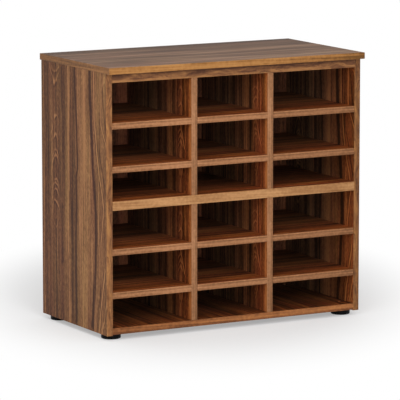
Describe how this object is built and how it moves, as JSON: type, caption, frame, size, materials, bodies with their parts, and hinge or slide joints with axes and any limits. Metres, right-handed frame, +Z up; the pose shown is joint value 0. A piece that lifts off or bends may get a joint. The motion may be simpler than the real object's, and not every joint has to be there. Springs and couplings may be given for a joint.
{
  "type": "pigeonhole mail sorter",
  "caption": "Low walnut-faced cabinet with open compartments for sorting mail: upright dividers and short shelves between two sides, an overhanging top and levelling feet.",
  "frame": {"origin": "on the floor, under the middle of the top panel", "axes": "+X to the right seen from the front, +Y from the open front to the back, +Z up"},
  "size_m": [0.8, 0.42, 0.746],
  "materials": {
    "walnut_face": "satin walnut decor, grain along the board",
    "walnut_band": "satin walnut edge band, lighter than the faces",
    "black_plastic": "moulded black plastic",
    "zinc_steel": "bright zinc plate"
  },
  "bodies": {
    "carcass": {"top_panel": "walnut_face", "left_side": "walnut_face", "right_side": "walnut_face", "inner_top": "walnut_face", "middle_shelf": "walnut_face", "bottom_panel": "walnut_face", "back_panel": "walnut_face", "upper_left_divider": "walnut_face", "upper_right_divider": "walnut_face", "lower_left_divider": "walnut_face", "lower_right_divider": "walnut_face", "upper_left_shelf_low": "walnut_face", "upper_left_shelf_high": "walnut_face", "upper_centre_shelf_low": "walnut_face", "upper_centre_shelf_high": "walnut_face", "upper_right_shelf_low": "walnut_face", "upper_right_shelf_high": "walnut_face", "lower_left_shelf_low": "walnut_face", "lower_left_shelf_high": "walnut_face", "lower_centre_shelf_low": "walnut_face", "lower_centre_shelf_high": "walnut_face", "lower_right_shelf_low": "walnut_face", "lower_right_shelf_high": "walnut_face", "top_front_band": "walnut_band", "top_back_band": "walnut_band", "top_left_band": "walnut_band", "top_right_band": "walnut_band", "left_side_band": "walnut_band", "right_side_band": "walnut_band", "inner_top_band": "walnut_band", "middle_shelf_band": "walnut_band", "bottom_panel_band": "walnut_band", "upper_left_divider_band": "walnut_band", "upper_right_divider_band": "walnut_band", "lower_left_divider_band": "walnut_band", "lower_right_divider_band": "walnut_band", "upper_left_shelf_low_band": "walnut_band", "upper_left_shelf_high_band": "walnut_band", "upper_centre_shelf_low_band": "walnut_band", "upper_centre_shelf_high_band": "walnut_band", "upper_right_shelf_low_band": "walnut_band", "upper_right_shelf_high_band": "walnut_band", "lower_left_shelf_low_band": "walnut_band", "lower_left_shelf_high_band": "walnut_band", "lower_centre_shelf_low_band": "walnut_band", "lower_centre_shelf_high_band": "walnut_band", "lower_right_shelf_low_band": "walnut_band", "lower_right_shelf_high_band": "walnut_band", "front_left_socket": "zinc_steel", "front_right_socket": "zinc_steel", "back_left_socket": "zinc_steel", "back_right_socket": "zinc_steel"},
    "front_left_glide": {"front_left_glide": "black_plastic"},
    "front_left_stud": {"front_left_stud": "zinc_steel"},
    "front_right_glide": {"front_right_glide": "black_plastic"},
    "front_right_stud": {"front_right_stud": "zinc_steel"},
    "back_left_glide": {"back_left_glide": "black_plastic"},
    "back_left_stud": {"back_left_stud": "zinc_steel"},
    "back_right_glide": {"back_right_glide": "black_plastic"},
    "back_right_stud": {"back_right_stud": "zinc_steel"}
  },
  "joints": [
    {"name": "front_left_foot_travel", "type": "slide", "parent": "carcass", "child": "front_left_glide", "axis": [0, 0, -1], "range_m": [0, 0.01]},
    {"name": "front_left_stud_turn", "type": "hinge", "parent": "front_left_glide", "child": "front_left_stud", "pos_m": [-0.365, -0.145, 0.004], "axis": [0, 0, -1], "range_deg": [0, 2400]},
    {"name": "front_right_foot_travel", "type": "slide", "parent": "carcass", "child": "front_right_glide", "axis": [0, 0, -1], "range_m": [0, 0.01]},
    {"name": "front_right_stud_turn", "type": "hinge", "parent": "front_right_glide", "child": "front_right_stud", "pos_m": [0.365, -0.145, 0.004], "axis": [0, 0, -1], "range_deg": [0, 2400]},
    {"name": "back_left_foot_travel", "type": "slide", "parent": "carcass", "child": "back_left_glide", "axis": [0, 0, -1], "range_m": [0, 0.01]},
    {"name": "back_left_stud_turn", "type": "hinge", "parent": "back_left_glide", "child": "back_left_stud", "pos_m": [-0.365, 0.163, 0.004], "axis": [0, 0, -1], "range_deg": [0, 2400]},
    {"name": "back_right_foot_travel", "type": "slide", "parent": "carcass", "child": "back_right_glide", "axis": [0, 0, -1], "range_m": [0, 0.01]},
    {"name": "back_right_stud_turn", "type": "hinge", "parent": "back_right_glide", "child": "back_right_stud", "pos_m": [0.365, 0.163, 0.004], "axis": [0, 0, -1], "range_deg": [0, 2400]}
  ],
  "couplings": [
    {"joint": "front_left_stud_turn", "follows": "front_left_foot_travel", "rad_per_m": 4188.8},
    {"joint": "front_right_stud_turn", "follows": "front_right_foot_travel", "rad_per_m": 4188.8},
    {"joint": "back_left_stud_turn", "follows": "back_left_foot_travel", "rad_per_m": 4188.8},
    {"joint": "back_right_stud_turn", "follows": "back_right_foot_travel", "rad_per_m": 4188.8}
  ]
}
